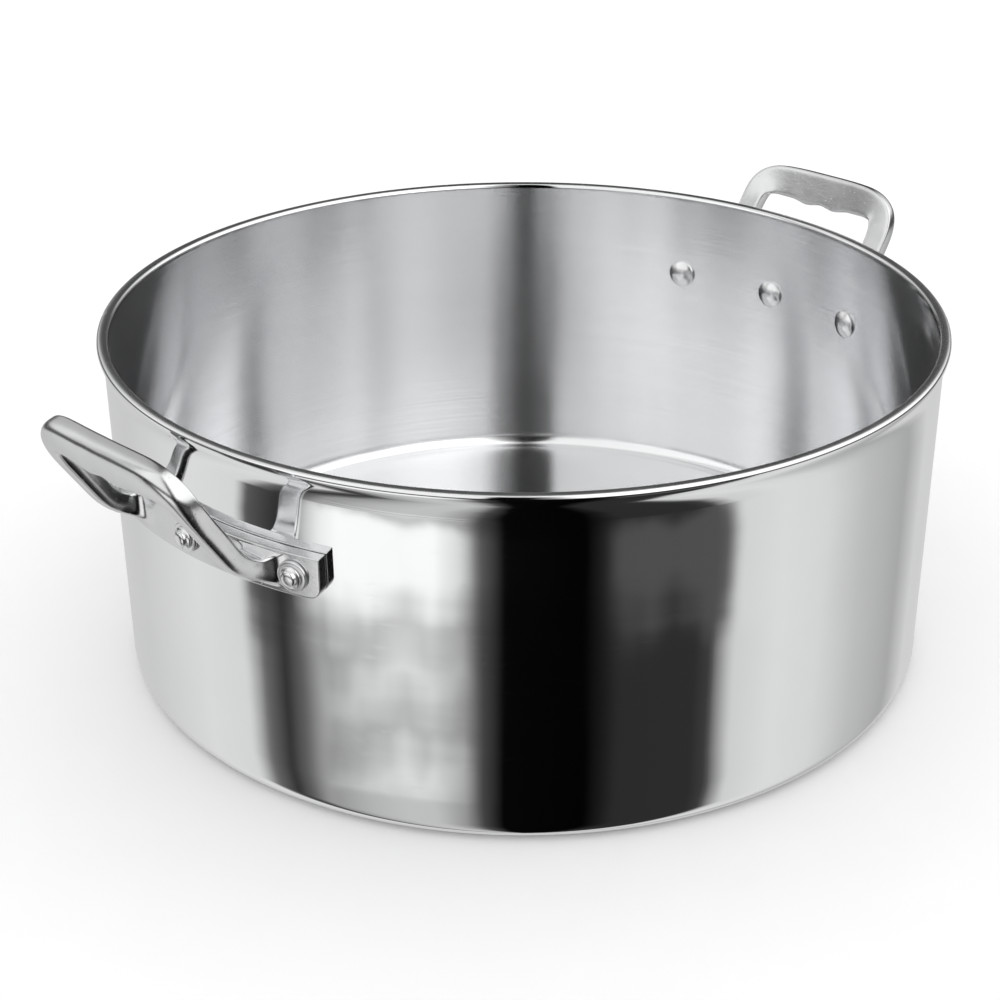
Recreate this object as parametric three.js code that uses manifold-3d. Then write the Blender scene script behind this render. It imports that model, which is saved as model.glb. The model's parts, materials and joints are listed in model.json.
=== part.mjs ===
// Wide, low two-handled kettle for boiling wort on a burner. A drawn aluminium shell stands on its flat base.
// Two cast loop handles sit on opposite sides, each held to the wall by three rivets with washers.
// Frame: millimetres, +Z up, origin at the middle of the underside, +X towards handle_right.
import * as THREE from "three";
import Module from "manifold-3d";
import { mergeVertices } from "three/addons/utils/BufferGeometryUtils.js";

const wasm = await Module();
wasm.setup();

// ---- Driving dimensions ----
const RIM_RADIUS = 200;
const HEIGHT = 166;
const WALL = 3;
const FLOOR = 7;
const RIM_OVERHANG = 2.5; // how far the rolled lip stands out past the wall
const WALL_TAPER = 2; // how much smaller the wall's radius is at the base than under the lip
const BASE_CORNER = 8; // outer radius where the wall turns into the base
const FLOOR_FILLET = 7; // inner radius where the wall meets the floor
const CLEARANCE = 0.3; // gap between pieces that touch

const WALL_RADIUS = RIM_RADIUS - RIM_OVERHANG;
const BASE_RADIUS = WALL_RADIUS - WALL_TAPER;

// Handles: the rivet line sits below the rim, and the outer rivets sit each side of the middle one.
const RIVET_DROP = 45;
const RIVET_HEIGHT = HEIGHT - RIVET_DROP;
const RIVET_PITCH = THREE.MathUtils.degToRad(16.7);
const BAR_HEIGHT = 19;
const BAR_THICKNESS = 6;
const BAR_HALF_LENGTH = 70;
const BAR_CORNER = 5;
const BAR_INNER = wallRadiusAt(RIVET_HEIGHT + BAR_HEIGHT / 2) + CLEARANCE;
const BAR_OUTER = BAR_INNER + BAR_THICKNESS;

// Rivets and their washers
const SHANK_RADIUS = 4;
const HOLE_RADIUS = SHANK_RADIUS + CLEARANCE;
const HEAD_RADIUS = 7.3;
const HEAD_HEIGHT = 2.8;
const TAIL_RADIUS = 5;
const TAIL_HEIGHT = 3.2;
const WASHER_RADIUS = 6.9;
const WASHER_THICKNESS = 1.6;

// Facets
const SHELL_SEGMENTS = 80;
const FASTENER_SEGMENTS = 18;
const LOOP_STEPS = 48;

// The wall's outer radius at a height: it tapers evenly from the lip to the base.
function wallRadiusAt(z) {
  return WALL_RADIUS - WALL_TAPER * (1 - z / HEIGHT);
}

// ---- Materials ----
const shellMetal = new THREE.MeshStandardMaterial({ color: 0xd9dadc, roughness: 0.22, metalness: 1 });
const handleMetal = new THREE.MeshStandardMaterial({ color: 0xc9cacc, roughness: 0.3, metalness: 1 });
const rivetMetal = new THREE.MeshStandardMaterial({ color: 0xd2d3d5, roughness: 0.25, metalness: 1 });

// ---- Small helpers ----
// A geometry as a manifold solid, and a manifold solid as a geometry.
function solidFrom(geometry) {
  const bare = geometry.clone();
  bare.deleteAttribute("normal");
  bare.deleteAttribute("uv");
  const merged = mergeVertices(bare, 1e-3);
  const mesh = new wasm.Mesh({
    numProp: 3,
    vertProperties: merged.attributes.position.array,
    triVerts: new Uint32Array(merged.index.array),
  });
  return new wasm.Manifold(mesh);
}

function geometryFrom(solid) {
  const mesh = solid.getMesh();
  const geometry = new THREE.BufferGeometry();
  geometry.setAttribute("position", new THREE.BufferAttribute(mesh.vertProperties, 3));
  geometry.setIndex(new THREE.BufferAttribute(mesh.triVerts, 1));
  geometry.computeVertexNormals();
  return geometry;
}

// Points on an arc in the profile plane, from one angle to another, in degrees.
function arc(centreR, centreZ, radius, from, to, steps) {
  return Array.from({ length: steps + 1 }, (_, i) => {
    const angle = THREE.MathUtils.degToRad(from + ((to - from) * i) / steps);
    return new THREE.Vector2(centreR + radius * Math.cos(angle), centreZ + radius * Math.sin(angle));
  });
}

// A profile of radius and height turned about Z.
function turned(profile, segments) {
  return new THREE.LatheGeometry(profile, segments).rotateX(Math.PI / 2);
}

// A radial hole through wall and bar at a rivet's place.
function rivetHole(angle) {
  const length = 40;
  const hole = new THREE.CylinderGeometry(HOLE_RADIUS, HOLE_RADIUS, length, FASTENER_SEGMENTS);
  hole.rotateZ(Math.PI / 2);
  hole.translate(WALL_RADIUS, 0, RIVET_HEIGHT);
  return solidFrom(hole.rotateZ(angle));
}

// ---- Kettle shell ----
// Floor, wall and lip are one drawn piece. The lip flares out and is rolled over at the top, and the inside of
// the wall runs straight up to it.
function kettleShell(handleAngles) {
  const flare = 9;
  const profile = [
    new THREE.Vector2(0, 0),
    ...arc(BASE_RADIUS - BASE_CORNER, BASE_CORNER, BASE_CORNER, -90, 0, 5),
    new THREE.Vector2(wallRadiusAt(HEIGHT - flare), HEIGHT - flare),
    new THREE.Vector2(RIM_RADIUS - 0.7, HEIGHT - flare / 2),
    new THREE.Vector2(RIM_RADIUS, HEIGHT - 2.5),
    new THREE.Vector2(RIM_RADIUS - 1, HEIGHT),
    new THREE.Vector2(RIM_RADIUS - 3.6, HEIGHT),
    new THREE.Vector2(RIM_RADIUS - 5.1, HEIGHT - 1),
    new THREE.Vector2(wallRadiusAt(HEIGHT - 3) - WALL, HEIGHT - 3),
    ...arc(BASE_RADIUS - WALL - FLOOR_FILLET, FLOOR + FLOOR_FILLET, FLOOR_FILLET, 0, -90, 5),
    new THREE.Vector2(0, FLOOR),
  ];
  const holes = handleAngles.flatMap((side) => rivetAngles.map((angle) => rivetHole(side + angle)));
  const shell = holes.reduce((made, hole) => made.subtract(hole), solidFrom(turned(profile, SHELL_SEGMENTS)));
  return geometryFrom(shell);
}

// ---- Handle casting ----
// The bar is a ring sector that follows the wall, cut out of a turned ring by a block with rounded corners.
function mountingBar() {
  const half = BAR_HEIGHT / 2;
  const ringProfile = [
    new THREE.Vector2(BAR_INNER, -half),
    new THREE.Vector2(BAR_OUTER, -half),
    new THREE.Vector2(BAR_OUTER, half),
    new THREE.Vector2(BAR_INNER, half),
    new THREE.Vector2(BAR_INNER, -half),
  ];
  const ring = solidFrom(turned(ringProfile, SHELL_SEGMENTS));

  const y = BAR_HALF_LENGTH;
  const c = BAR_CORNER;
  const outline = new THREE.Shape();
  outline.moveTo(-y + c, -half);
  outline.lineTo(y - c, -half);
  outline.absarc(y - c, -half + c, c, -Math.PI / 2, 0);
  outline.lineTo(y, half - c);
  outline.absarc(y - c, half - c, c, 0, Math.PI / 2);
  outline.lineTo(-y + c, half);
  outline.absarc(-y + c, half - c, c, Math.PI / 2, Math.PI);
  outline.lineTo(-y, -half + c);
  outline.absarc(-y + c, -half + c, c, Math.PI, 1.5 * Math.PI);
  const options = { depth: RIM_RADIUS, bevelEnabled: false, curveSegments: 4 };
  const block = new THREE.ExtrudeGeometry(outline, options);
  block.rotateX(Math.PI / 2).rotateZ(Math.PI / 2).translate(BAR_OUTER / 2, 0, 0);
  return ring.intersect(solidFrom(block)).translate([0, 0, RIVET_HEIGHT]);
}

// Half of the loop from foot to middle of the grip. Each station holds how far out from the kettle's axis it is,
// how far to the side, its height above the rim, the tilt of its flat face in degrees, and its half width and
// half thickness.
const FOOT_SIDE = 43;
const LOOP_STATIONS = [
  { out: 195.5, side: FOOT_SIDE, up: 1.5 - RIVET_DROP, tilt: 0, width: 8, thick: 7.4 },
  { out: 200.5, side: FOOT_SIDE, up: 1.7 - RIVET_DROP, tilt: 2, width: 7, thick: 6.2 },
  { out: 205.5, side: FOOT_SIDE, up: 2.6 - RIVET_DROP, tilt: 14, width: 6.1, thick: 4.9 },
  { out: 210.5, side: FOOT_SIDE, up: 5.4 - RIVET_DROP, tilt: 32, width: 5.8, thick: 4.5 },
  { out: 215, side: FOOT_SIDE, up: 10 - RIVET_DROP, tilt: 48, width: 5.7, thick: 4.4 },
  { out: 220.4, side: FOOT_SIDE, up: -27, tilt: 56, width: 5.8, thick: 4.5 },
  { out: 226.8, side: FOOT_SIDE, up: -17.5, tilt: 62, width: 6, thick: 4.6 },
  { out: 232.8, side: FOOT_SIDE - 0.4, up: -8.5, tilt: 68, width: 6.2, thick: 4.6 },
  { out: 237.4, side: FOOT_SIDE - 4, up: -0.8, tilt: 72, width: 7, thick: 4.7 },
  { out: 239.6, side: FOOT_SIDE - 11.5, up: 2.6, tilt: 75, width: 8.3, thick: 4.8 },
  { out: 240.6, side: FOOT_SIDE - 21, up: 3.2, tilt: 76, width: 8.8, thick: 4.8 },
  { out: 241.2, side: FOOT_SIDE / 4, up: 3.3, tilt: 76, width: 8.9, thick: 4.8 },
];
const FINGER_WAVE = { depth: 0.9, pitch: 18 };

// The section's outline: x is across the loop, y is through it, both as shares of the half sizes. The face
// towards the kettle is flat and the back is slightly crowned.
const LOOP_SECTION = [
  [-0.7, 1], [0.7, 1], [1, 0.55], [1, -0.25], [0.86, -0.75], [0.5, -1],
  [-0.5, -1], [-0.86, -0.75], [-1, -0.25], [-1, 0.55],
];

// Stations for the whole loop, from the foot at -Y to the foot at +Y.
function loopStations() {
  const negative = LOOP_STATIONS.map((s) => ({ ...s, side: -s.side }));
  const middle = { ...LOOP_STATIONS.at(-1), side: 0 };
  return [...negative, middle, ...[...LOOP_STATIONS].reverse()];
}

// A closed body through a row of rings that have the same number of points, with a fan over each end.
function loft(rings) {
  const count = rings[0].length;
  const points = rings.flat();
  const index = [];
  for (let r = 0; r + 1 < rings.length; r++) {
    for (let i = 0; i < count; i++) {
      const a = r * count + i;
      const b = r * count + ((i + 1) % count);
      index.push(a, b, b + count, a, b + count, a + count);
    }
  }
  const last = (rings.length - 1) * count;
  for (let i = 1; i + 1 < count; i++) {
    index.push(0, i + 1, i);
    index.push(last, last + i, last + i + 1);
  }
  const geometry = new THREE.BufferGeometry().setFromPoints(points);
  geometry.setIndex(index);
  return geometry;
}

function handleLoop() {
  const stations = loopStations();
  const path = new THREE.CatmullRomCurve3(
    stations.map((s) => new THREE.Vector3(s.out, s.side, HEIGHT + s.up)),
    false,
    "centripetal",
  );
  const sizes = new THREE.CatmullRomCurve3(stations.map((s) => new THREE.Vector3(s.tilt, s.width, s.thick)));
  const rings = Array.from({ length: LOOP_STEPS + 1 }, (_, i) => {
    const share = i / LOOP_STEPS;
    const centre = path.getPoint(share);
    const along = path.getTangent(share);
    const { x: tilt, y: width, z: thick } = sizes.getPoint(share);
    const angle = THREE.MathUtils.degToRad(tilt);
    const face = new THREE.Vector3(-Math.sin(angle), 0, Math.cos(angle));
    face.addScaledVector(along, -face.dot(along)).normalize();
    const across = new THREE.Vector3().crossVectors(along, face);
    const onGrip = THREE.MathUtils.smoothstep(Math.abs(along.y), 0.9, 1);
    const side = Math.min(Math.abs(centre.y), FINGER_WAVE.pitch); // even beyond the outer hollows
    const wave = onGrip * FINGER_WAVE.depth * Math.cos((2 * Math.PI * side) / FINGER_WAVE.pitch);
    return LOOP_SECTION.map(([x, y]) => {
      const reach = x < 0 ? x * (width - wave) : x * width;
      return centre.clone().addScaledVector(across, reach).addScaledVector(face, y * thick);
    });
  });
  return solidFrom(loft(rings));
}

// Bar and loop are one casting, bored for its three rivets.
function handleCasting() {
  const blank = mountingBar().add(handleLoop());
  const bored = rivetAngles.reduce((made, angle) => made.subtract(rivetHole(angle)), blank);
  return geometryFrom(bored);
}

// ---- Rivets and washers ----
// Both are turned about the rivet's own axis, which points away from the kettle's axis and starts at it.
const rivetAngles = [-RIVET_PITCH, 0, RIVET_PITCH];
const HEAD_SEAT = wallRadiusAt(RIVET_HEIGHT) - WALL - 0.7; // clear of the hollow side of the wall
const WASHER_SEAT = BAR_OUTER + CLEARANCE;
const TAIL_SEAT = WASHER_SEAT + WASHER_THICKNESS + CLEARANCE;

function rivet() {
  const domeRadius = (HEAD_RADIUS ** 2 + HEAD_HEIGHT ** 2) / (2 * HEAD_HEIGHT);
  const domeCentre = HEAD_SEAT - HEAD_HEIGHT + domeRadius;
  const domeSweep = THREE.MathUtils.radToDeg(Math.asin(HEAD_RADIUS / domeRadius));
  const profile = [
    ...arc(0, domeCentre, domeRadius, -90, -90 + domeSweep, 4),
    new THREE.Vector2(SHANK_RADIUS, HEAD_SEAT),
    new THREE.Vector2(SHANK_RADIUS, TAIL_SEAT),
    new THREE.Vector2(TAIL_RADIUS, TAIL_SEAT),
    new THREE.Vector2(TAIL_RADIUS, TAIL_SEAT + TAIL_HEIGHT * 0.35),
    new THREE.Vector2(TAIL_RADIUS * 0.72, TAIL_SEAT + TAIL_HEIGHT * 0.5),
    new THREE.Vector2(TAIL_RADIUS * 0.6, TAIL_SEAT + TAIL_HEIGHT),
    new THREE.Vector2(0, TAIL_SEAT + TAIL_HEIGHT),
  ];
  return turned(profile, FASTENER_SEGMENTS);
}

function washer() {
  const top = WASHER_SEAT + WASHER_THICKNESS;
  const profile = [
    new THREE.Vector2(HOLE_RADIUS, WASHER_SEAT),
    new THREE.Vector2(WASHER_RADIUS, WASHER_SEAT),
    new THREE.Vector2(WASHER_RADIUS, top - 0.5),
    new THREE.Vector2(WASHER_RADIUS - 0.5, top),
    new THREE.Vector2(HOLE_RADIUS, top),
    new THREE.Vector2(HOLE_RADIUS, WASHER_SEAT),
  ];
  return turned(profile, FASTENER_SEGMENTS);
}

// ---- Assembly ----
const kettle = new THREE.Group();

function addMesh(parent, name, geometry, material) {
  const mesh = new THREE.Mesh(geometry, material);
  mesh.name = name;
  parent.add(mesh);
  return mesh;
}

// The left set is the right set turned half round, so its first rivet is the one at the back. Front is -Y.
const SIDES = [
  { name: "right", angle: 0, places: ["front", "middle", "back"] },
  { name: "left", angle: Math.PI, places: ["back", "middle", "front"] },
];

addMesh(kettle, "kettle_shell", kettleShell(SIDES.map((side) => side.angle)), shellMetal);

const casting = handleCasting();
const rivetShape = rivet();
const washerShape = washer();
for (const side of SIDES) {
  const set = new THREE.Group();
  set.rotation.z = side.angle;
  addMesh(set, `handle_${side.name}`, casting, handleMetal);
  rivetAngles.forEach((angle, i) => {
    const fastener = new THREE.Group();
    fastener.rotation.z = angle;
    fastener.position.z = RIVET_HEIGHT;
    const place = `${side.name}_${side.places[i]}`;
    const stem = addMesh(fastener, `rivet_${place}`, rivetShape, rivetMetal);
    stem.rotation.y = Math.PI / 2;
    const ring = addMesh(fastener, `washer_${place}`, washerShape, rivetMetal);
    ring.rotation.y = Math.PI / 2;
    set.add(fastener);
  });
  kettle.add(set);
}

export default kettle;
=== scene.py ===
# A wide, low brew kettle of bare aluminium: a spun shell with two cast loop handles, each held on by three
# rivets. The scene is in metres in the kettle's own frame: +Z up, handles along X, standing on z = 0. The
# sizes of the pieces are in millimetres, and MM takes them to metres.
import json
import math

import bmesh
import bpy
from mathutils import Matrix, Vector

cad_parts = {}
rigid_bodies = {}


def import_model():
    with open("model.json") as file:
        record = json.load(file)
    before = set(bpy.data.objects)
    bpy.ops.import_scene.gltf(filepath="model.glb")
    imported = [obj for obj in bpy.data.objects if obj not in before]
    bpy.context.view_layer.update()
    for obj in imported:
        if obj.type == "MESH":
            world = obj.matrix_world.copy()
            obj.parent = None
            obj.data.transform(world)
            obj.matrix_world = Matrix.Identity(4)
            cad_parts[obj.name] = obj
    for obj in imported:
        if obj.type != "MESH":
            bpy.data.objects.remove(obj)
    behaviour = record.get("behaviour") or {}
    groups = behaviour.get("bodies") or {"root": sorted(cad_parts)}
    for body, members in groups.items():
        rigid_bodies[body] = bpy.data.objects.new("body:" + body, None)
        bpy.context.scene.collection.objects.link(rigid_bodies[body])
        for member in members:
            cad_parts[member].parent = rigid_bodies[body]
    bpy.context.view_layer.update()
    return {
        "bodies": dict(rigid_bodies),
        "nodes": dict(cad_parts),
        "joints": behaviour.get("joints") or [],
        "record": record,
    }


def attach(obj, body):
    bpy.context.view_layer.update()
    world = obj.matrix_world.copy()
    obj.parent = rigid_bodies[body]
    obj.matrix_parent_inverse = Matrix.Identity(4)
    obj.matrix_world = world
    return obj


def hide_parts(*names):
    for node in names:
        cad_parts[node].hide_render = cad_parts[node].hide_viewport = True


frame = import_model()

MM = 0.001


# ---- Camera ----
# A short telephoto lens at eye height above a table, a metre from the kettle and looking down into it.
CAMERA_TURN = math.radians(-46)
CAMERA_TILT = math.radians(25.6)
CAMERA_REACH = 1.0
CAMERA_LENS = 73.0
CAMERA_SHIFT = (-0.024, -0.033)
LOOK_HEIGHT = 83 * MM

towards_camera = Vector((math.sin(CAMERA_TURN), -math.cos(CAMERA_TURN), 0))
camera_spot = towards_camera * CAMERA_REACH * math.cos(CAMERA_TILT)
camera_spot.z = LOOK_HEIGHT + CAMERA_REACH * math.sin(CAMERA_TILT)
bpy.ops.object.camera_add(location=camera_spot, rotation=(math.pi / 2 - CAMERA_TILT, 0, CAMERA_TURN))
camera = bpy.context.object
camera.data.lens = CAMERA_LENS
camera.data.shift_x, camera.data.shift_y = CAMERA_SHIFT
bpy.context.scene.camera = camera


# ---- Kettle shell ----
# One disc of thick aluminium, spun up into floor, wall and rolled lip. It is mirror polished outside, and
# inside it keeps the satin rings that the finishing pad leaves round the wall and floor.
RIM_HEIGHT = 166
WALL = 3
WALL_RADIUS_TOP = 197.5
WALL_RADIUS_BASE = 195.5
FLOOR = 7
BASE_CORNER = 8
FLOOR_FILLET = 7
SHELL_STEPS = 256
WALL_STEPS = 12
CORNER_STEPS = 10
BASE_RINGS = (60, 120, 170, 185)
FLOOR_RINGS = (178, 150, 100, 50)

# The wall flares out above LIP_START, and inside it runs straight up to BORE_TOP. The rolled lip between
# them is given as radius and height: out under the lip, over the top and down inside.
LIP_START = 153
BORE_TOP = 162
LIP_PROFILE = [
    (197.6, 156.5),
    (198.2, 159),
    (199, 161),
    (199.7, 162.6),
    (200, 163.8),
    (199.85, 165),
    (199.3, 165.75),
    (198.5, 166),
    (197, 166),
    (196.1, 165.95),
    (195.4, 165.7),
    (194.85, 165.1),
    (194.55, 164.2),
    (194.46, 163.2),
]


def wall_radius(height):
    """The wall's outer radius at a height: it draws in a little towards the base."""
    return WALL_RADIUS_TOP - (WALL_RADIUS_TOP - WALL_RADIUS_BASE) * (1 - height / RIM_HEIGHT)


def arc(centre_radius, centre_height, radius, start, end, count):
    """Profile points on an arc, angles in degrees: 0 points away from the axis and 90 points up."""
    angles = [math.radians(start + (end - start) * i / count) for i in range(count + 1)]
    return [(centre_radius + radius * math.cos(a), centre_height + radius * math.sin(a)) for a in angles]


def straight(start, end, count):
    """Profile points after start on the way to end, which is left out."""
    (r0, z0), (r1, z1) = start, end
    return [(r0 + (r1 - r0) * i / count, z0 + (z1 - z0) * i / count) for i in range(1, count)]


def turn(name, profile, steps, ring=False):
    """A turned piece about Z: a circle drawn out ring by ring, then closed on the axis, or into a ring."""
    bpy.ops.object.select_all(action="DESELECT")
    (radius, height), *rest = profile
    start = (0, 0, height * MM)
    fill = "NOTHING" if ring else "TRIFAN"
    bpy.ops.mesh.primitive_circle_add(vertices=steps, radius=radius * MM, fill_type=fill, location=start)
    piece = bpy.context.object
    piece.name = name
    bpy.ops.object.transform_apply()
    bpy.ops.object.mode_set(mode="EDIT")
    bpy.ops.mesh.select_all(action="SELECT")
    if ring:
        rest.append(profile[0])
    else:
        bpy.ops.mesh.region_to_loop()
    for next_radius, next_height in rest:
        bpy.ops.mesh.extrude_edges_move(
            TRANSFORM_OT_translate={"value": (0, 0, (next_height - height) * MM)}
        )
        ratio = next_radius / radius
        bpy.ops.transform.resize(value=(ratio, ratio, 1), center_override=(0, 0, next_height * MM))
        radius, height = next_radius, next_height
    if not ring:
        bpy.ops.mesh.extrude_edges_move()
        bpy.ops.mesh.merge(type="CENTER")
    bpy.ops.mesh.select_all(action="SELECT")
    bpy.ops.mesh.remove_doubles(threshold=0.001 * MM)
    bpy.ops.mesh.normals_make_consistent(inside=False)
    bpy.ops.object.mode_set(mode="OBJECT")
    bpy.ops.object.shade_smooth()
    return piece


wall_foot = (WALL_RADIUS_BASE, BASE_CORNER)
under_lip = (wall_radius(LIP_START), LIP_START)
bore_top = (wall_radius(BORE_TOP) - WALL, BORE_TOP)
bore_foot = (WALL_RADIUS_BASE - WALL, FLOOR + FLOOR_FILLET)
corner_centre = (WALL_RADIUS_BASE - BASE_CORNER, BASE_CORNER)
fillet_centre = (WALL_RADIUS_BASE - WALL - FLOOR_FILLET, FLOOR + FLOOR_FILLET)
shell_profile = [
    *[(ring, 0) for ring in BASE_RINGS],
    *arc(*corner_centre, BASE_CORNER, -90, 0, CORNER_STEPS),
    *straight(wall_foot, under_lip, WALL_STEPS),
    under_lip,
    *LIP_PROFILE,
    bore_top,
    *straight(bore_top, bore_foot, WALL_STEPS),
    *arc(*fillet_centre, FLOOR_FILLET, 0, -90, CORNER_STEPS),
    *[(ring, FLOOR) for ring in FLOOR_RINGS],
]
shell = turn("kettle_body", shell_profile, SHELL_STEPS)


# The finish is drawn in the shader. Sums on shader values are written as plain Python, through this wrapper.
class Wire:
    """One output in a material, which can be added, multiplied and so on."""

    def __init__(self, tree, socket):
        self.tree = tree
        self.socket = socket

    def maths(self, operation, *values):
        return shade(self.tree, "ShaderNodeMath", {"operation": operation}, dict(enumerate(values)))

    def __add__(self, other):
        return self.maths("ADD", self, other)

    def __radd__(self, other):
        return self.maths("ADD", other, self)

    def __sub__(self, other):
        return self.maths("SUBTRACT", self, other)

    def __rsub__(self, other):
        return self.maths("SUBTRACT", other, self)

    def __mul__(self, other):
        return self.maths("MULTIPLY", self, other)

    def __rmul__(self, other):
        return self.maths("MULTIPLY", other, self)

    def __truediv__(self, other):
        return self.maths("DIVIDE", self, other)

    def __rtruediv__(self, other):
        return self.maths("DIVIDE", other, self)

    def __pow__(self, other):
        return self.maths("POWER", self, other)

    def __rpow__(self, other):
        return self.maths("POWER", other, self)

    def __gt__(self, other):
        return self.maths("GREATER_THAN", self, other)

    def __lt__(self, other):
        return self.maths("LESS_THAN", self, other)


def shade(tree, kind, settings=None, sockets=None, output=0):
    """Adds a node: its settings first, then a value or a Wire for each named or numbered socket."""
    node = tree.nodes.new(kind)
    for name, value in (settings or {}).items():
        if name == "stops":
            ramp = node.color_ramp
            while len(ramp.elements) < len(value):
                ramp.elements.new(0.5)
            for element, (place, level) in zip(ramp.elements, value):
                element.position = place
                element.color = (level, level, level, 1)
        else:
            setattr(node, name, value)
    for name, value in (sockets or {}).items():
        if isinstance(value, Wire):
            tree.links.new(value.socket, node.inputs[name])
        else:
            node.inputs[name].default_value = value
    return Wire(tree, node.outputs[output]) if len(node.outputs) else None


def new_metal(name):
    """An empty material, the object's own coordinates in it, and a function that finishes its shader."""
    material = bpy.data.materials.new(name)
    material.use_nodes = True
    tree = material.node_tree
    tree.nodes.clear()
    place = shade(tree, "ShaderNodeTexCoord", output="Object")

    def finish(**sockets):
        values = {key.replace("_", " "): value for key, value in sockets.items()}
        values["Metallic"] = 1.0
        surface = shade(tree, "ShaderNodeBsdfPrincipled", sockets=values)
        shade(tree, "ShaderNodeOutputMaterial", sockets={"Surface": surface})
        return material

    return tree, place, finish


def noise(tree, place, scale, detail, roughness=0.5):
    sockets = {"Vector": place, "Scale": scale, "Detail": detail, "Roughness": roughness}
    return shade(tree, "ShaderNodeTexNoise", sockets=sockets)


def stretched(tree, place, size):
    """Coordinates squeezed or drawn out along each axis."""
    return shade(tree, "ShaderNodeMapping", sockets={"Vector": place, "Scale": size})


def ramp(tree, factor, stops):
    """A level of grey from stops of place and level, with straight slopes between them."""
    return shade(tree, "ShaderNodeValToRGB", {"stops": stops}, {"Fac": factor})


def bump(tree, height, depth):
    """Surface relief: depth is how deep it is, in millimetres, where height goes from 0 to 1."""
    sockets = {"Height": height, "Distance": depth * MM, "Strength": 1.0}
    return shade(tree, "ShaderNodeBump", sockets=sockets)


def mixed(tree, factor, low, high, blend="MIX"):
    """A colour between low and high. The Mix node's colour sockets are its seventh and eighth."""
    settings = {"data_type": "RGBA", "blend_type": blend}
    return shade(tree, "ShaderNodeMix", settings, {0: factor, 6: low, 7: high}, output=2)


def turned_lines(tree, place):
    """Coordinates for marks left by turning: they hardly change round the axis, and quickly up a wall or
    out across a floor, where one unit is a millimetre."""
    x = shade(tree, "ShaderNodeSeparateXYZ", sockets={"Vector": place}, output="X")
    y = shade(tree, "ShaderNodeSeparateXYZ", sockets={"Vector": place}, output="Y")
    z = shade(tree, "ShaderNodeSeparateXYZ", sockets={"Vector": place}, output="Z")
    radius = (x * x + y * y) ** 0.5
    along = (z - radius) / MM
    return shade(tree, "ShaderNodeCombineXYZ", sockets={"X": x / radius, "Y": y / radius, "Z": along})


def height_of(tree, place):
    """Height above the table, in millimetres."""
    return shade(tree, "ShaderNodeSeparateXYZ", sockets={"Vector": place}, output="Z") / MM


# Aluminium where it is bright, and where handling has dulled it. The lip's flat top, above RUBBED_FROM, is
# rougher than the polish, and the satin finish inside stops at SATIN_TOP.
BRIGHT_ALUMINIUM = (0.915, 0.92, 0.925, 1)
DULL_ALUMINIUM = (0.86, 0.865, 0.875, 1)
RUBBED_FROM = 165.5
SATIN_TOP = 163


def mirror_polish():
    """Buffed aluminium: nearly a mirror, gently wavy from the spinning, with faint level buffing lines."""
    tree, place, finish = new_metal("mirror_polished_aluminium")
    rings = turned_lines(tree, place)
    waves = noise(tree, stretched(tree, place, (1, 1, 0.5)), 24, 1.0)
    ridges = noise(tree, stretched(tree, rings, (2.0, 2.0, 0.045)), 1, 1.0)
    lines = noise(tree, stretched(tree, rings, (6, 6, 2.2)), 1, 4.0, 0.6)
    haze = noise(tree, place, 11, 4.0, 0.6)
    scuffs = noise(tree, stretched(tree, place, (1, 1, 5)), 60, 3.0, 0.6)
    wear = ramp(tree, haze, [(0.42, 0.0), (0.72, 1.0)])
    rub = ramp(tree, scuffs, [(0.6, 0.0), (0.8, 1.0)])
    handled = height_of(tree, place) > RUBBED_FROM
    roughness = 0.03 + lines * 0.02 + wear * 0.04 + rub * 0.05 + handled * 0.22
    relief = waves + ridges * 0.8 + lines * 0.004
    colour = mixed(tree, wear * 0.5, BRIGHT_ALUMINIUM, DULL_ALUMINIUM)
    return finish(Base_Color=colour, Roughness=roughness, Normal=bump(tree, relief, 0.10))


def satin_spun():
    """Aluminium rubbed with a finishing pad while it turned. The rings draw every reflection out across
    them, up and down the wall, and leave its sides sharp. The floor's darker colour is painted shade in the
    bowl."""
    tree, place, finish = new_metal("satin_spun_aluminium")
    rings = turned_lines(tree, place)
    fine = noise(tree, stretched(tree, rings, (3, 3, 2.4)), 1, 6.0, 0.7)
    coarse = noise(tree, stretched(tree, rings, (1.5, 1.5, 0.8)), 1, 1.0, 0.5)
    cloud = noise(tree, place, 14, 3.0, 0.55)
    streaks = noise(tree, stretched(tree, rings, (5, 5, 1.2)), 1, 3.0, 0.7)
    marks = ramp(tree, streaks, [(0.64, 0.0), (0.78, 1.0)])
    roughness = 0.11 + fine * 0.05 + cloud * 0.04
    relief = fine * 0.05 + coarse - marks * 0.1
    wall_tone = mixed(tree, coarse, (0.90, 0.905, 0.915, 1), (0.97, 0.972, 0.975, 1))
    # The floor is coloured darker than the wall: painted shade at the bottom of the bowl, with a cloudy tone
    # over it.
    floor_tone_with_painted_shade = mixed(tree, cloud, (0.70, 0.705, 0.715, 1), (0.80, 0.803, 0.81, 1))
    on_floor = height_of(tree, place) < FLOOR + 1
    colour = mixed(tree, on_floor, wall_tone, floor_tone_with_painted_shade)
    return finish(
        Base_Color=colour,
        Roughness=roughness,
        Anisotropic=1.0,
        Anisotropic_Rotation=0.25,
        Normal=bump(tree, relief, 0.05),
    )


def paint_shell(piece):
    """Outside and lip take the polish. The faces of the bowl below the lip take the satin finish."""
    piece.data.materials.clear()
    piece.data.materials.append(mirror_polish())
    piece.data.materials.append(satin_spun())
    for face in piece.data.polygons:
        radius = math.hypot(face.center.x, face.center.y) / MM
        height = face.center.z / MM
        inside = radius < wall_radius(height) - WALL / 2 and FLOOR / 2 < height < SATIN_TOP
        face.material_index = 1 if inside else 0


paint_shell(shell)
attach(shell, "root")
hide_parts("kettle_shell")


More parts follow.
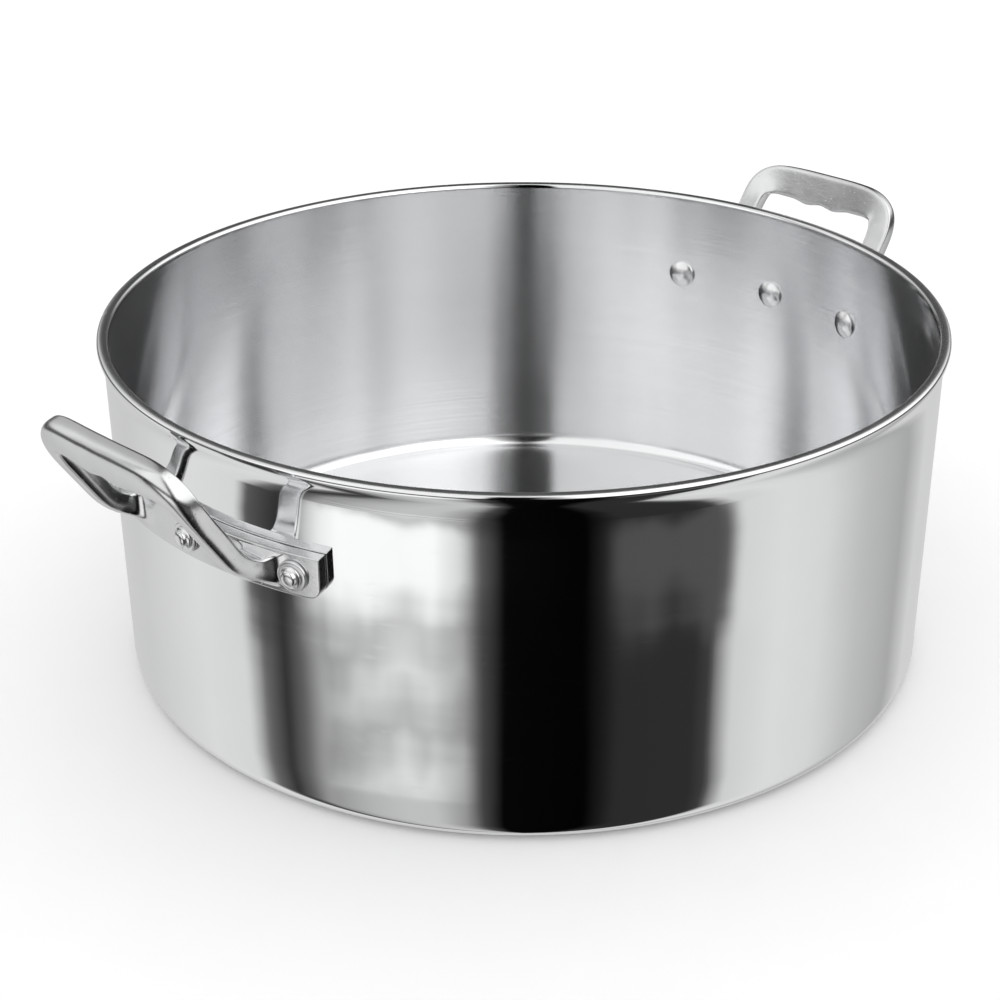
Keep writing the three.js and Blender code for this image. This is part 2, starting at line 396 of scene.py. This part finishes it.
# ---- Handles ----
# Each handle is one aluminium casting: a bar that follows the wall, and a loop that leaves it on two feet,
# leans out and ends in a grip with finger hollows. It is tumbled bright and held on by three rivets.
RIVET_HEIGHT = 121
BAR_INNER = 197.4
BAR_OUTER = 203.4
BAR_HALF_HEIGHT = 9.5
BAR_HALF_LENGTH = 69.9
BAR_CORNER = 5
BAR_EDGE = 1.1
BAR_MIDDLE_COLUMNS = (12, 24)
BAR_END_COLUMN = 58
CORNER_SHARES = (0, 0.5, 0.85, 1)
FOOT_SIDE = 43
FOOT_LIFT = 1.3
FOOT_HALF_WIDTH = 8.4
FOOT_HALF_HEIGHT = 7.2
FOOT_CURVE = 0.7
GRIP_WAVE = 1.0
GRIP_WAVE_LENGTH = 18
GRIP_STARTS = 0.85
GRIP_FADE = 0.12
SMOOTHING = 3
HAIR = 0.1  # room left when faces are picked out by their place

# The loop's section is drawn in a square from -1 to 1. WIDE_SHARE and THICK_SHARE are where its inner lines
# run, and the rest say how its back, the side away from the kettle, is rounded.
WIDE_SHARE = 0.70
THICK_SHARE = 0.55
EDGE_SHARE = 0.9
BACK_SHOULDER = 0.78
BACK_CROWN = 0.42
BACK_SIDE = 0.25
BACK_BULGE = 1.06

# Stations along the loop, from just off the bar to just past the middle of the grip: distance out from the
# kettle's axis, distance to the side, height above the rim, lean of the flat face in degrees, half width
# and half thickness. MIDDLE_PLACE is the middle of the grip, halfway between two of them. The loop has
# STATION_ROWS sections for each of them.
LOOP_STATIONS = [
    (205.6, 43, -42.6, 12, 6.5, 5.1),
    (210.5, 43, -39.6, 32, 5.9, 4.6),
    (215.0, 43, -35.0, 48, 5.8, 4.5),
    (220.4, 43, -27.0, 56, 5.9, 4.6),
    (226.8, 43, -17.5, 62, 6.1, 4.7),
    (232.8, 42.8, -8.5, 68, 6.4, 4.7),
    (236.9, 40.0, -0.9, 72, 7.1, 4.7),
    (239.1, 32.0, 2.3, 75, 8.4, 4.7),
    (239.9, 22.5, 2.8, 76, 8.9, 4.7),
    (240.3, 13.5, 2.9, 76, 9.0, 4.7),
    (240.4, 4.5, 2.9, 76, 9.0, 4.7),
    (240.4, -4.5, 2.9, 76, 9.0, 4.7),
    (240.3, -13.5, 2.9, 76, 9.0, 4.7),
]
MIDDLE_PLACE = 10.5
STATION_ROWS = 2


def between(stations, place):
    """A point on the smooth curve through the stations: place 0 is the first station and 1 the next."""
    index = min(int(place), len(stations) - 2)
    t = place - index
    before = stations[max(index - 1, 0)]
    after = stations[min(index + 2, len(stations) - 1)]
    values = []
    for a, b, c, d in zip(before, stations[index], stations[index + 1], after):
        bend = (2 * a - 5 * b + 4 * c - d) * t + (3 * b - a - 3 * c + d) * t * t
        values.append(b + 0.5 * t * (c - a + bend))
    return values


def section_frame(centre, across, face, half_width, half_thickness):
    """The matrix that takes a section drawn between -1 and 1 to its place on the handle."""
    along = across.cross(face)
    frame = Matrix((across * half_width * MM, face * half_thickness * MM, along * MM)).transposed().to_4x4()
    frame.translation = centre * MM
    return frame


def loop_frames():
    """Where each section of half a loop goes. The finger hollows draw the grip's lower edge in and out."""
    count = int(STATION_ROWS * MIDDLE_PLACE) + 1
    rows = [between(LOOP_STATIONS, i / STATION_ROWS) for i in range(count + 1)]
    centres = [Vector((row[0], row[1], RIM_HEIGHT + row[2])) for row in rows]
    frames = []
    for i in range(count):
        out, side, up, lean, half_width, half_thickness = rows[i]
        ahead = (centres[i + 1] - centres[max(i - 1, 0)]).normalized()
        angle = math.radians(lean)
        face = Vector((-math.sin(angle), 0, math.cos(angle)))
        face = (face - ahead * face.dot(ahead)).normalized()
        across = face.cross(ahead)
        on_grip = max(0.0, min(1.0, (abs(ahead.y) - GRIP_STARTS) / GRIP_FADE))
        along_grip = min(side, GRIP_WAVE_LENGTH)
        hollow = on_grip * GRIP_WAVE * math.cos(2 * math.pi * along_grip / GRIP_WAVE_LENGTH)
        centre = centres[i] + across * hollow / 2
        frames.append(section_frame(centre, across, face, half_width - hollow / 2, half_thickness))
    return frames


def bar_half():
    """Half of the bar: its cross-section at the middle, spun round the kettle's axis column by column."""
    middle = ((BAR_INNER + BAR_OUTER) / 2 * MM, 0, RIVET_HEIGHT * MM)
    bpy.ops.object.select_all(action="DESELECT")
    bpy.ops.mesh.primitive_plane_add(size=1, location=middle, rotation=(math.pi / 2, 0, 0))
    bar = bpy.context.object
    bar.scale = ((BAR_OUTER - BAR_INNER) * MM, 2 * BAR_HALF_HEIGHT * MM, 1)
    bpy.ops.object.transform_apply()
    bpy.ops.object.mode_set(mode="EDIT")
    foot_rows = [FOOT_LIFT + FOOT_HALF_HEIGHT * share for share in (-1, -THICK_SHARE, THICK_SHARE, 1)]
    for row in [BAR_EDGE - BAR_HALF_HEIGHT, *foot_rows, BAR_HALF_HEIGHT - BAR_EDGE]:
        bpy.ops.mesh.select_all(action="SELECT")
        bpy.ops.mesh.bisect(plane_co=(0, 0, (RIVET_HEIGHT + row) * MM), plane_no=(0, 0, 1))
    for radius in (BAR_INNER + BAR_EDGE, BAR_OUTER - BAR_EDGE):
        bpy.ops.mesh.select_all(action="SELECT")
        bpy.ops.mesh.bisect(plane_co=(radius * MM, 0, 0), plane_no=(1, 0, 0))
    bpy.ops.mesh.select_all(action="SELECT")

    # The lower corner at the end is rounded: the last columns are squeezed towards the bar's top edge.
    corner_start = BAR_HALF_LENGTH - BAR_CORNER
    foot_sides = [FOOT_SIDE + FOOT_HALF_WIDTH * share for share in (-1, -WIDE_SHARE, WIDE_SHARE, 1)]
    ends = [corner_start + BAR_CORNER * share for share in CORNER_SHARES]
    top = (0, 0, (RIVET_HEIGHT + BAR_HALF_HEIGHT) * MM)
    turned = 0.0
    height = 2 * BAR_HALF_HEIGHT
    for side in [*BAR_MIDDLE_COLUMNS, *foot_sides, BAR_END_COLUMN, *ends]:
        angle = math.asin(side / BAR_OUTER)
        bpy.ops.mesh.spin(steps=1, angle=turned - angle, center=(0, 0, 0), axis=(0, 0, 1))
        turned = angle
        into_corner = max(0.0, side - corner_start)
        lost = BAR_CORNER - math.sqrt(BAR_CORNER ** 2 - into_corner ** 2)
        new_height = 2 * BAR_HALF_HEIGHT - lost
        bpy.ops.transform.resize(value=(1, 1, new_height / height), center_override=top)
        height = new_height
    return bar


def select_faces(piece, wanted):
    """Selects the faces whose centre passes the test."""
    bpy.ops.mesh.select_all(action="DESELECT")
    cage = bmesh.from_edit_mesh(piece.data)
    for face in cage.faces:
        face.select_set(wanted(face.calc_center_median() / MM))
    cage.select_flush(True)
    bmesh.update_edit_mesh(piece.data)


def rounded_back(corner):
    """Rounds the back of the loop's section, and leaves its other side flat."""
    at_side = abs(corner.x) > EDGE_SHARE
    if corner.y < -EDGE_SHARE:
        corner.x *= BACK_SHOULDER if at_side else BACK_CROWN / WIDE_SHARE
        corner.y = -BACK_SHOULDER if at_side else -BACK_BULGE
    elif corner.y < 0 and at_side:
        corner.y = -BACK_SIDE


def place_section(piece, was, now, keep_curve, reshape=None):
    """Carries the selected section from one frame to another, flattening what curve it has left."""
    cage = bmesh.from_edit_mesh(piece.data)
    back = was.inverted()
    for corner in cage.verts:
        if corner.select:
            local = back @ corner.co
            local.z *= keep_curve
            if reshape:
                reshape(local)
            corner.co = now @ local
    bmesh.update_edit_mesh(piece.data)


def handle_half():
    """Half a handle as a coarse cage: the bar, with the loop drawn out of it from the foot to the grip."""
    half = bar_half()

    def on_foot(centre):
        across = abs(centre.y - FOOT_SIDE) < FOOT_HALF_WIDTH - HAIR
        upright = abs(centre.z - RIVET_HEIGHT - FOOT_LIFT) < FOOT_HALF_HEIGHT - HAIR
        outward = math.hypot(centre.x, centre.y) > BAR_OUTER - BAR_EDGE / 2
        return outward and across and upright

    select_faces(half, on_foot)
    foot_out = math.sqrt(BAR_OUTER ** 2 - FOOT_SIDE ** 2)
    foot_centre = Vector((foot_out, FOOT_SIDE, RIVET_HEIGHT + FOOT_LIFT))
    sideways = Vector((0, 1, 0))
    upwards = Vector((0, 0, 1))
    was = section_frame(foot_centre, sideways, upwards, FOOT_HALF_WIDTH, FOOT_HALF_HEIGHT)
    first, *others = loop_frames()
    bpy.ops.mesh.extrude_region_move()
    place_section(half, was, first, FOOT_CURVE, rounded_back)
    was = first
    for now in others:
        bpy.ops.mesh.extrude_region_move()
        place_section(half, was, now, FOOT_CURVE)
        was = now
    select_faces(half, lambda centre: centre.y < HAIR)
    bpy.ops.mesh.delete(type="FACE")
    bpy.ops.object.mode_set(mode="OBJECT")
    return half


def handle_right():
    """The whole casting: the half mirrored and smoothed."""
    handle = handle_half()
    handle.name = "handle_right_casting"
    mirror = handle.modifiers.new("Mirror", "MIRROR")
    mirror.use_axis = (False, True, False)
    mirror.use_clip = True
    mirror.merge_threshold = 0.01 * MM
    smooth = handle.modifiers.new("Smooth", "SUBSURF")
    smooth.levels = SMOOTHING
    smooth.render_levels = SMOOTHING
    bpy.ops.object.modifier_apply(modifier="Mirror")
    bpy.ops.object.modifier_apply(modifier="Smooth")
    bpy.ops.object.mode_set(mode="EDIT")
    bpy.ops.mesh.select_all(action="SELECT")
    bpy.ops.mesh.normals_make_consistent(inside=False)
    bpy.ops.object.mode_set(mode="OBJECT")
    bpy.ops.object.shade_smooth()
    return handle


def turned_copy(piece, name, angle):
    """A copy with its own mesh, turned about the kettle's axis."""
    bpy.ops.object.select_all(action="DESELECT")
    piece.select_set(True)
    bpy.context.view_layer.objects.active = piece
    bpy.ops.object.duplicate(linked=False)
    copy = bpy.context.object
    copy.name = name
    bpy.ops.transform.rotate(value=-angle, orient_axis="Z", center_override=(0, 0, 0))
    bpy.ops.object.transform_apply(location=True, rotation=True, scale=True)
    return copy


def cast_metal():
    """Tumbled casting, brighter and smoother in patches, with the fine dimpled skin and soft flow marks of
    the mould.
    """
    tree, place, finish = new_metal("tumbled_cast_aluminium")
    skin = noise(tree, place, 800, 3.0, 0.6)
    swell = noise(tree, place, 90, 2.0, 0.5)
    cloud = noise(tree, place, 40, 4.0, 0.6)
    pits = ramp(tree, noise(tree, place, 900, 1.0), [(0.70, 0.0), (0.78, 1.0)])
    worn = ramp(tree, noise(tree, place, 26, 3.0), [(0.45, 0.0), (0.7, 1.0)])
    roughness = 0.15 + cloud * 0.12 - worn * 0.05 + pits * 0.1
    relief = skin * 0.5 + swell * 1.2 - pits * 0.6
    colour = mixed(tree, cloud, (0.66, 0.665, 0.675, 1), (0.88, 0.882, 0.885, 1))
    return finish(Base_Color=colour, Roughness=roughness, Normal=bump(tree, relief, 0.05))


right_handle = handle_right()
right_handle.data.materials.append(cast_metal())
left_handle = turned_copy(right_handle, "handle_left_casting", math.pi)
for handle, node in ((right_handle, "handle_right"), (left_handle, "handle_left")):
    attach(handle, "root")
    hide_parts(node)


# ---- Rivets ----
# Six solid aluminium rivets, three to a handle. The low round head is inside the kettle. The shank goes
# through wall and handle bar, and its end is headed over a washer into a small stepped dome.
RIVET_TURN = math.radians(16.7)
HEAD_SEAT = 193.3
HEAD_RADIUS = 7.3
HEAD_HEIGHT = 2.8
HEAD_RIM = 0.5
SHANK_RADIUS = 3.9
TAIL_SEAT = 205.3
TAIL_RADIUS = 4.9
TAIL_TOP = 208.6
RIVET_STEPS = 48

# The head is part of a ball, from close to the axis out to its upright rim.
head_top = HEAD_SEAT - HEAD_HEIGHT
head_rise = HEAD_HEIGHT - HEAD_RIM
head_curve = (HEAD_RADIUS ** 2 + head_rise ** 2) / (2 * head_rise)
head_sweep = math.degrees(math.asin(HEAD_RADIUS / head_curve))
rivet_profile = [
    *arc(0, head_top + head_curve, head_curve, -85, head_sweep - 90, CORNER_STEPS),
    (HEAD_RADIUS, HEAD_SEAT - 0.3),
    (HEAD_RADIUS - 0.2, HEAD_SEAT),
    (SHANK_RADIUS + 0.3, HEAD_SEAT),
    (SHANK_RADIUS, HEAD_SEAT + 0.3),
    (SHANK_RADIUS, TAIL_SEAT - 0.2),
    (TAIL_RADIUS - 0.1, TAIL_SEAT),
    (TAIL_RADIUS, TAIL_SEAT + 0.2),
    (TAIL_RADIUS, TAIL_SEAT + 0.8),
    (TAIL_RADIUS - 0.25, TAIL_SEAT + 1.1),
    (3.75, TAIL_SEAT + 1.25),
    (3.5, TAIL_SEAT + 1.5),
    (3.45, TAIL_SEAT + 2.0),
    (3.2, TAIL_SEAT + 2.6),
    (2.6, TAIL_SEAT + 3.0),
    (1.6, TAIL_TOP - 0.06),
    (0.7, TAIL_TOP),
]


def stand_out(piece):
    """Lays a piece turned about Z down along X, at the rivets' height."""
    bpy.ops.object.select_all(action="DESELECT")
    piece.select_set(True)
    bpy.context.view_layer.objects.active = piece
    piece.rotation_euler = (0, math.pi / 2, 0)
    piece.location = (0, 0, RIVET_HEIGHT * MM)
    bpy.ops.object.transform_apply(location=True, rotation=True, scale=True)


def rivet_metal():
    """Bright aluminium wire, dented a little by the hammer and dulled in patches."""
    tree, place, finish = new_metal("headed_rivet_aluminium")
    dents = noise(tree, place, 420, 2.0, 0.5)
    grain = noise(tree, place, 2400, 3.0, 0.6)
    cloud = noise(tree, place, 150, 3.0, 0.6)
    roughness = 0.14 + cloud * 0.14 + grain * 0.04
    colour = mixed(tree, cloud, (0.80, 0.805, 0.815, 1), (0.94, 0.942, 0.945, 1))
    relief = dents + grain * 0.06
    return finish(Base_Color=colour, Roughness=roughness, Normal=bump(tree, relief, 0.02))


RIVET_PLACES = {
    "right_front": -RIVET_TURN,
    "right_middle": 0.0,
    "right_back": RIVET_TURN,
    "left_back": math.pi - RIVET_TURN,
    "left_middle": math.pi,
    "left_front": math.pi + RIVET_TURN,
}

rivet = turn("rivet", rivet_profile, RIVET_STEPS)
stand_out(rivet)
rivet.data.materials.append(rivet_metal())
for place_name, angle in RIVET_PLACES.items():
    copy = turned_copy(rivet, f"rivet_{place_name}_headed", angle)
    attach(copy, "root")
    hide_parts(f"rivet_{place_name}")
bpy.data.objects.remove(rivet, do_unlink=True)


# ---- Washers ----
# A small turned aluminium washer lies between each rivet's end and the handle bar. Its outer corner is
# eased, and the rivet holds it.
WASHER_BORE = 4.1
WASHER_RADIUS = 6.9
WASHER_SEAT = 203.6
WASHER_TOP = 205.2

washer_profile = [
    (WASHER_BORE, WASHER_TOP - 0.2),
    (WASHER_BORE, WASHER_SEAT + 0.2),
    (WASHER_BORE + 0.2, WASHER_SEAT),
    (WASHER_RADIUS - 0.2, WASHER_SEAT),
    (WASHER_RADIUS, WASHER_SEAT + 0.2),
    (WASHER_RADIUS, WASHER_TOP - 0.6),
    (WASHER_RADIUS - 0.15, WASHER_TOP - 0.2),
    (WASHER_RADIUS - 0.55, WASHER_TOP),
    (WASHER_BORE + 0.2, WASHER_TOP),
]


def washer_metal():
    """Turned aluminium, with a fine grain from the tool over its faces."""
    tree, place, finish = new_metal("turned_washer_aluminium")
    grain = noise(tree, place, 2000, 4.0, 0.7)
    cloud = noise(tree, place, 200, 3.0, 0.6)
    roughness = 0.20 + cloud * 0.12 + grain * 0.06
    colour = mixed(tree, cloud, (0.76, 0.765, 0.775, 1), (0.90, 0.902, 0.905, 1))
    return finish(Base_Color=colour, Roughness=roughness, Normal=bump(tree, grain, 0.02))


washer = turn("washer", washer_profile, RIVET_STEPS, ring=True)
stand_out(washer)
washer.data.materials.append(washer_metal())
for place_name, angle in RIVET_PLACES.items():
    copy = turned_copy(washer, f"washer_{place_name}_turned", angle)
    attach(copy, "root")
    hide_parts(f"washer_{place_name}")
bpy.data.objects.remove(washer, do_unlink=True)


# ---- Floor and light ----
# A plain white floor that runs to the horizon, in a white studio. Tall dark cards stand round the kettle,
# with gaps between the lights. Only its polished metal shows them, as upright bands.
STUDIO_SIZE = 40
STUDIO_WHITE = (1.16, 1.16, 1.16, 1)
BLACK = (0, 0, 0, 1)

# How far the edges of the bands wander and the shadow's patches reach. GAP_SCALE brings the heights of the
# gap between the lights within the length of a ramp.
BAND_WANDER = 0.006
PATCH_HEIGHT = 0.05
GAP_SCALE = 1.25

bpy.ops.mesh.primitive_plane_add(size=STUDIO_SIZE, location=(0, 0, 0))
ground = bpy.context.object
ground.name = "studio_floor"
ground.visible_glossy = False
white = bpy.data.materials.new("studio_floor_white")
white.use_nodes = True
paper = white.node_tree
paper.nodes.clear()
paper_place = shade(paper, "ShaderNodeTexCoord", output="Object")
paper_tone = noise(paper, paper_place, 30, 3.0)
paper_colour = mixed(paper, paper_tone, (0.94, 0.94, 0.94, 1), (0.96, 0.96, 0.96, 1))
paper_sockets = {"Base Color": paper_colour, "Roughness": 0.8, "Specular IOR Level": 0.2}
paper_surface = shade(paper, "ShaderNodeBsdfPrincipled", sockets=paper_sockets)
shade(paper, "ShaderNodeOutputMaterial", sockets={"Surface": paper_surface})
ground.data.materials.append(white)

# Bands round the kettle: each entry is an angle in degrees, counted to the right from the camera, and how
# bright the studio is there. The first two are mirrored by the outside of the wall, the third by the bowl.
TABLE_FAR = [
    (-180, 0.62), (-135, 0.62), (-120, 0.68), (-101, 0.76), (-84, 0.72), (-80, 0.10), (-70, 0.03),
    (-66, 0.06), (-61, 0.60), (-57, 0.90), (-51, 1.05), (-24, 1.05), (-17, 0.75), (-12, 0.12),
    (-6, 0.003), (17, 0.001), (22, 0.02), (26, 0.085), (54, 0.085), (57, 0.12), (61, 0.70), (75, 0.76),
    (90, 0.72), (106, 0.55), (128, 0.42), (142, 0.66), (180, 0.62),
]
TABLE_NEAR = [
    (-180, 0.62), (-135, 0.62), (-120, 0.68), (-101, 0.76), (-84, 0.72), (-77, 0.15), (-70, 0.03),
    (-64, 0.13), (-57, 0.40), (-51, 0.52), (-45, 0.62), (-34, 0.72), (-25, 0.70), (-17, 0.42),
    (-12, 0.07), (-6, 0.002), (17, 0.001), (22, 0.012), (26, 0.026), (48, 0.028), (53, 0.05),
    (60, 0.66), (75, 0.76), (90, 0.72), (106, 0.55), (128, 0.42), (142, 0.66), (180, 0.62),
]
STUDIO_ROUND = [
    (-180, 0.03), (-163, 0.03), (-160, 0.45), (-139, 0.62), (-126, 0.78), (-112, 0.90), (-101, 0.84),
    (-97, 0.62), (-86, 0.62), (-82, 1.00), (-70, 1.08), (-52, 1.0), (-36, 0.96), (-18, 0.96),
    (-10.5, 0.92), (-9, 0.001), (2, 0.001), (8, 0.35), (14, 1.15), (24, 1.50), (34, 1.50), (50, 1.30),
    (80, 1.25), (98, 1.35), (118, 1.30), (132, 1.05), (150, 0.65), (158, 0.45), (161, 0.03), (180, 0.03),
]

studio = bpy.data.worlds.new("studio")
studio.use_nodes = True
bpy.context.scene.world = studio
sky = studio.node_tree
sky.nodes.clear()
ray = shade(sky, "ShaderNodeTexCoord", output="Generated")
ray_x = shade(sky, "ShaderNodeSeparateXYZ", sockets={"Vector": ray}, output="X")
ray_y = shade(sky, "ShaderNodeSeparateXYZ", sockets={"Vector": ray}, output="Y")
ray_z = shade(sky, "ShaderNodeSeparateXYZ", sockets={"Vector": ray}, output="Z")
rightwards = Vector((-towards_camera.y, towards_camera.x, 0))
ahead = ray_x * towards_camera.x + ray_y * towards_camera.y
aside = ray_x * rightwards.x + ray_y * rightwards.y
drift = noise(sky, ray, 7, 2.0)
compass = ray_x.maths("ARCTAN2", aside, ahead) / (2 * math.pi) + 0.5 + (drift - 0.5) * BAND_WANDER


def bands(table):
    """The bands of one table as a strip of colour round the kettle."""
    return ramp(sky, compass, [(angle / 360 + 0.5, level) for angle, level in table])


# The table just round the kettle lies in its shadow, so the outside of the wall is darker lower down, in
# uneven patches. Rays that go up past the table meet the studio, where a gap is left between its lights.
patches = noise(sky, stretched(sky, ray, (1, 1, 3)), 5, 2.0)
slope = ray_z + (patches - 0.5) * PATCH_HEIGHT
near_share = ramp(sky, slope + 1, [(0.476, 1.0), (0.498, 0.0)])
shadow_stops = [(0.396, 0.8), (0.418, 1.12), (0.436, 0.65), (0.458, 1.1), (0.476, 0.75), (0.504, 1.0)]
shadow = ramp(sky, slope + 1, shadow_stops)
lit_part = ramp(sky, compass, [(0.335, 0.0), (0.345, 1.0), (0.46, 1.0), (0.47, 0.0)])
near_table = bands(TABLE_NEAR)
near_dark = mixed(sky, 1.0, near_table, shadow, "MULTIPLY")
near_shaded = mixed(sky, lit_part, near_table, near_dark)
outside = mixed(sky, near_share, bands(TABLE_FAR), near_shaded)
upness = ramp(sky, ray_z + 0.5, [(0.48, 0.0), (0.60, 1.0)])
around = mixed(sky, upness, outside, bands(STUDIO_ROUND))
gap_stops = [(0.76, 1.0), (0.86, 0.12), (1.06, 0.12), (1.20, 1.0)]
gap = ramp(sky, (ray_z + 1) / GAP_SCALE, [(place / GAP_SCALE, level) for place, level in gap_stops])
mirrored = shade(sky, "ShaderNodeLightPath", output="Is Glossy Ray")
light = mixed(sky, mirrored, STUDIO_WHITE, mixed(sky, gap, BLACK, around))
glow = shade(sky, "ShaderNodeBackground", sockets={"Color": light, "Strength": 1.0})
shade(sky, "ShaderNodeOutputWorld", sockets={"Surface": glow})
bpy.context.scene.view_settings.view_transform = "Standard"


# ---- Scene update ----
bpy.context.view_layer.update()
